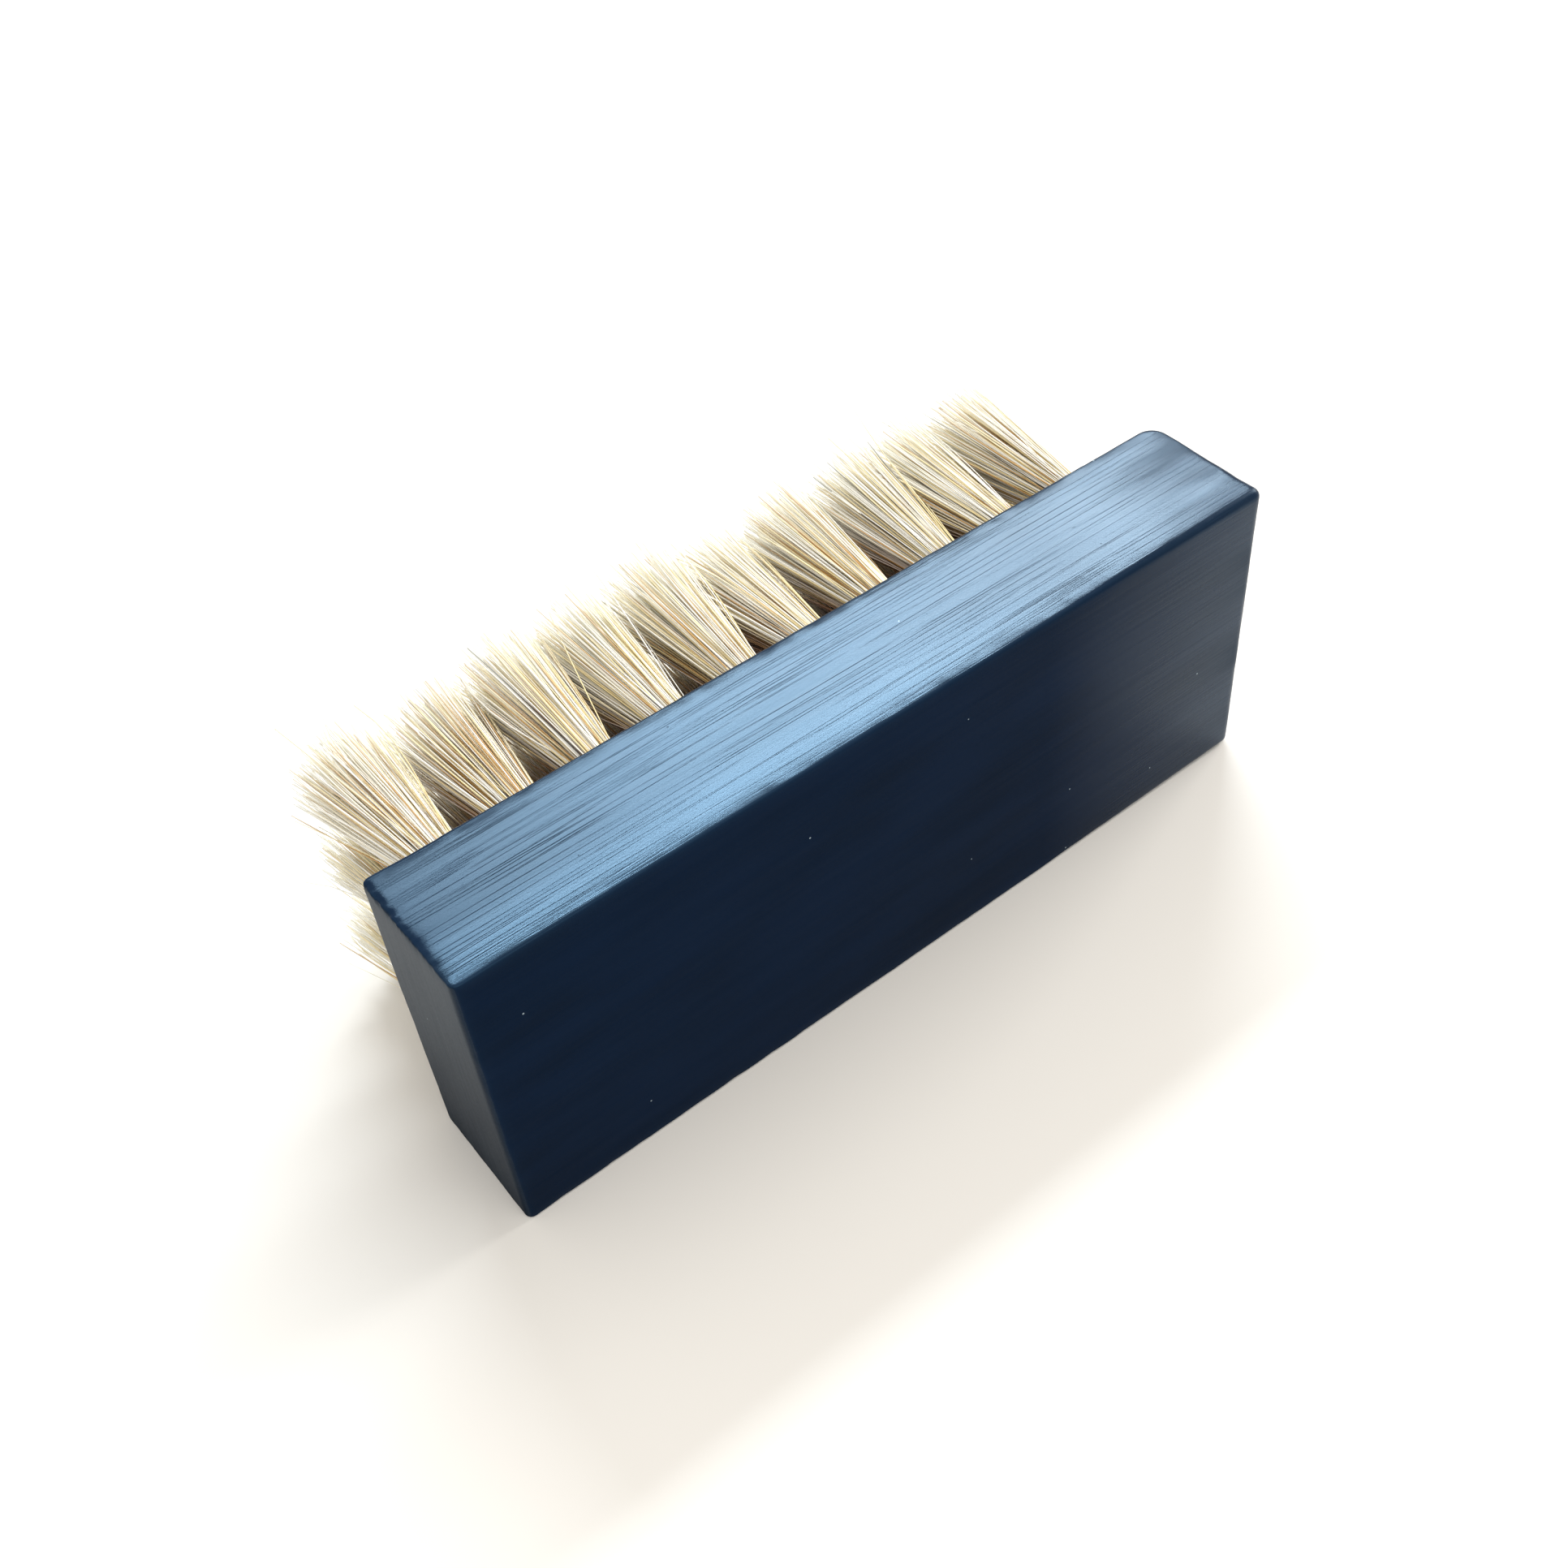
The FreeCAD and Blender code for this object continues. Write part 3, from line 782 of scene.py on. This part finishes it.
class BRUSH_OT_anchors(bpy.types.Operator):
    """Give the flat wire anchors their metal"""

    bl_idname = "brush.anchors"
    bl_label = "Finish the anchors"

    def execute(self, context):
        wire = tinned_wire(context.scene.brush_anchors)
        for name in ANCHORS:
            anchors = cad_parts[name]
            anchors.data.materials.clear()
            anchors.data.materials.append(wire)
        return {"FINISHED"}


# Where the camera stands, what it looks at, its roll, and its lens and film width in millimetres.
CAMERA_PLACE = Vector((-85.2, -126.0, 170.6)) * MM
CAMERA_TARGET = Vector((-4.8, -4.7, 20.5)) * MM
CAMERA_ROLL = math.radians(-6.2)
CAMERA_LENS, CAMERA_SENSOR = 41.2, 36.0

# Which way each lamp stands from the brush, how far off, and its width and height, in metres.
WINDOW_WAY, WINDOW_AWAY, WINDOW_SIZE, WINDOW_ROLL = Vector((0.405, 0.59, 0.70)), 1.6, (1.05, 0.19), 25
CEILING_WAY, CEILING_AWAY, CEILING_SIZE = Vector((-0.15, -0.45, 0.88)), 1.8, (1.4, 1.4)
SIDE_WAY, SIDE_AWAY, SIDE_SIZE = Vector((0.85, 0.05, 0.52)), 1.8, (0.8, 0.8)
LAMP_TARGET = Vector((0, 0, 20 * MM))
FLOOR_REACH = 3.0


def aim(thing, place, target, roll=0.0):
    """Put a camera or a lamp at a place, facing a target, turned about its own axis by roll."""
    turn = (target - place).to_track_quat("-Z", "Y")
    thing.rotation_euler = (turn.to_matrix() @ Matrix.Rotation(roll, 3, "Z")).to_euler()
    thing.location = place
    bpy.context.scene.collection.objects.link(thing)


def add_softbox(name, place, size, radiance, colour, roll=0.0):
    """A rectangular lamp facing the brush that gives off this radiance."""
    lamp = bpy.data.lights.new(name, "AREA")
    lamp.shape = "RECTANGLE"
    lamp.size, lamp.size_y = size
    lamp.energy = radiance * math.pi * size[0] * size[1]
    lamp.color = colour
    aim(bpy.data.objects.new(name, lamp), place, LAMP_TARGET, roll)


def light_room(scene, settings):
    """Even light from all round, which the camera sees as plain white."""
    world = bpy.data.worlds.new("room")
    world.use_nodes = True
    tree = world.node_tree
    tree.nodes.clear()
    ray = node(tree, "ShaderNodeLightPath")
    seen = node(tree, "ShaderNodeMath", {
        0: ray.outputs["Is Camera Ray"], 1: ray.outputs["Is Transmission Ray"]}, operation="MAXIMUM")
    light = node(tree, "ShaderNodeBackground", {
        "Color": [*settings.room_colour, 1], "Strength": settings.room})
    white = node(tree, "ShaderNodeBackground", {"Color": [1, 1, 1, 1], "Strength": 1.0})
    mix = node(tree, "ShaderNodeMixShader", {0: seen, 1: light, 2: white})
    node(tree, "ShaderNodeOutputWorld", {"Surface": mix})
    scene.world = world


class BRUSH_OT_stage(bpy.types.Operator):
    """Make the pale floor, the soft lights and the camera"""

    bl_idname = "brush.stage"
    bl_label = "Make the stage"

    def execute(self, context):
        settings = context.scene.brush_stage
        square = ((-1, -1), (1, -1), (1, 1), (-1, 1))
        corners = np.array([(FLOOR_REACH * x, FLOOR_REACH * y, 0) for x, y in square])
        floor = make_piece("floor", corners, np.array([[0, 1, 2, 3]]), pale_floor(settings), smooth=False)

        window = (WINDOW_WAY * WINDOW_AWAY, WINDOW_SIZE, settings.window, settings.window_colour)
        add_softbox("window", *window, math.radians(WINDOW_ROLL))
        ceiling = (CEILING_WAY * CEILING_AWAY, CEILING_SIZE, settings.ceiling, settings.room_colour)
        add_softbox("ceiling", *ceiling)
        add_softbox("side", SIDE_WAY * SIDE_AWAY, SIDE_SIZE, settings.side, settings.room_colour)
        light_room(context.scene, settings)

        lens = bpy.data.cameras.new("camera")
        lens.lens, lens.sensor_width = CAMERA_LENS, CAMERA_SENSOR
        lens.clip_start = 1 * MM
        camera = bpy.data.objects.new("camera", lens)
        aim(camera, CAMERA_PLACE, CAMERA_TARGET, CAMERA_ROLL)
        context.scene.camera = camera
        context.scene.view_settings.view_transform = "Standard"
        return {"FINISHED"}


class BRUSH_PT_sidebar(bpy.types.Panel):
    """The brush's pieces and their settings"""

    bl_idname = "BRUSH_PT_sidebar"
    bl_label = "Block brush"
    bl_space_type = "VIEW_3D"
    bl_region_type = "UI"
    bl_category = "Brush"

    def draw(self, context):
        for operator, (name, group) in zip(OPERATORS, SETTINGS.items()):
            box = self.layout.box()
            for setting in group.__annotations__:
                box.prop(getattr(context.scene, name), setting)
            box.operator(operator.bl_idname)


OPERATORS = (BRUSH_OT_block, BRUSH_OT_tufts, BRUSH_OT_anchors, BRUSH_OT_stage)
SETTINGS = {
    "brush_block": BrushBlockSettings,
    "brush_tufts": BrushTuftSettings,
    "brush_anchors": BrushAnchorSettings,
    "brush_stage": BrushStageSettings,
}


def register():
    for made in (*SETTINGS.values(), *OPERATORS, BRUSH_PT_sidebar):
        bpy.utils.register_class(made)
    for name, group in SETTINGS.items():
        setattr(bpy.types.Scene, name, PointerProperty(type=group))


def unregister():
    for name in SETTINGS:
        delattr(bpy.types.Scene, name)
    for made in (BRUSH_PT_sidebar, *OPERATORS, *SETTINGS.values()):
        bpy.utils.unregister_class(made)


def main():
    register()
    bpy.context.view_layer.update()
    bpy.ops.brush.block()
    bpy.ops.brush.tufts()
    bpy.ops.brush.anchors()
    bpy.ops.brush.stage()


if __name__ == "__main__":
    main()
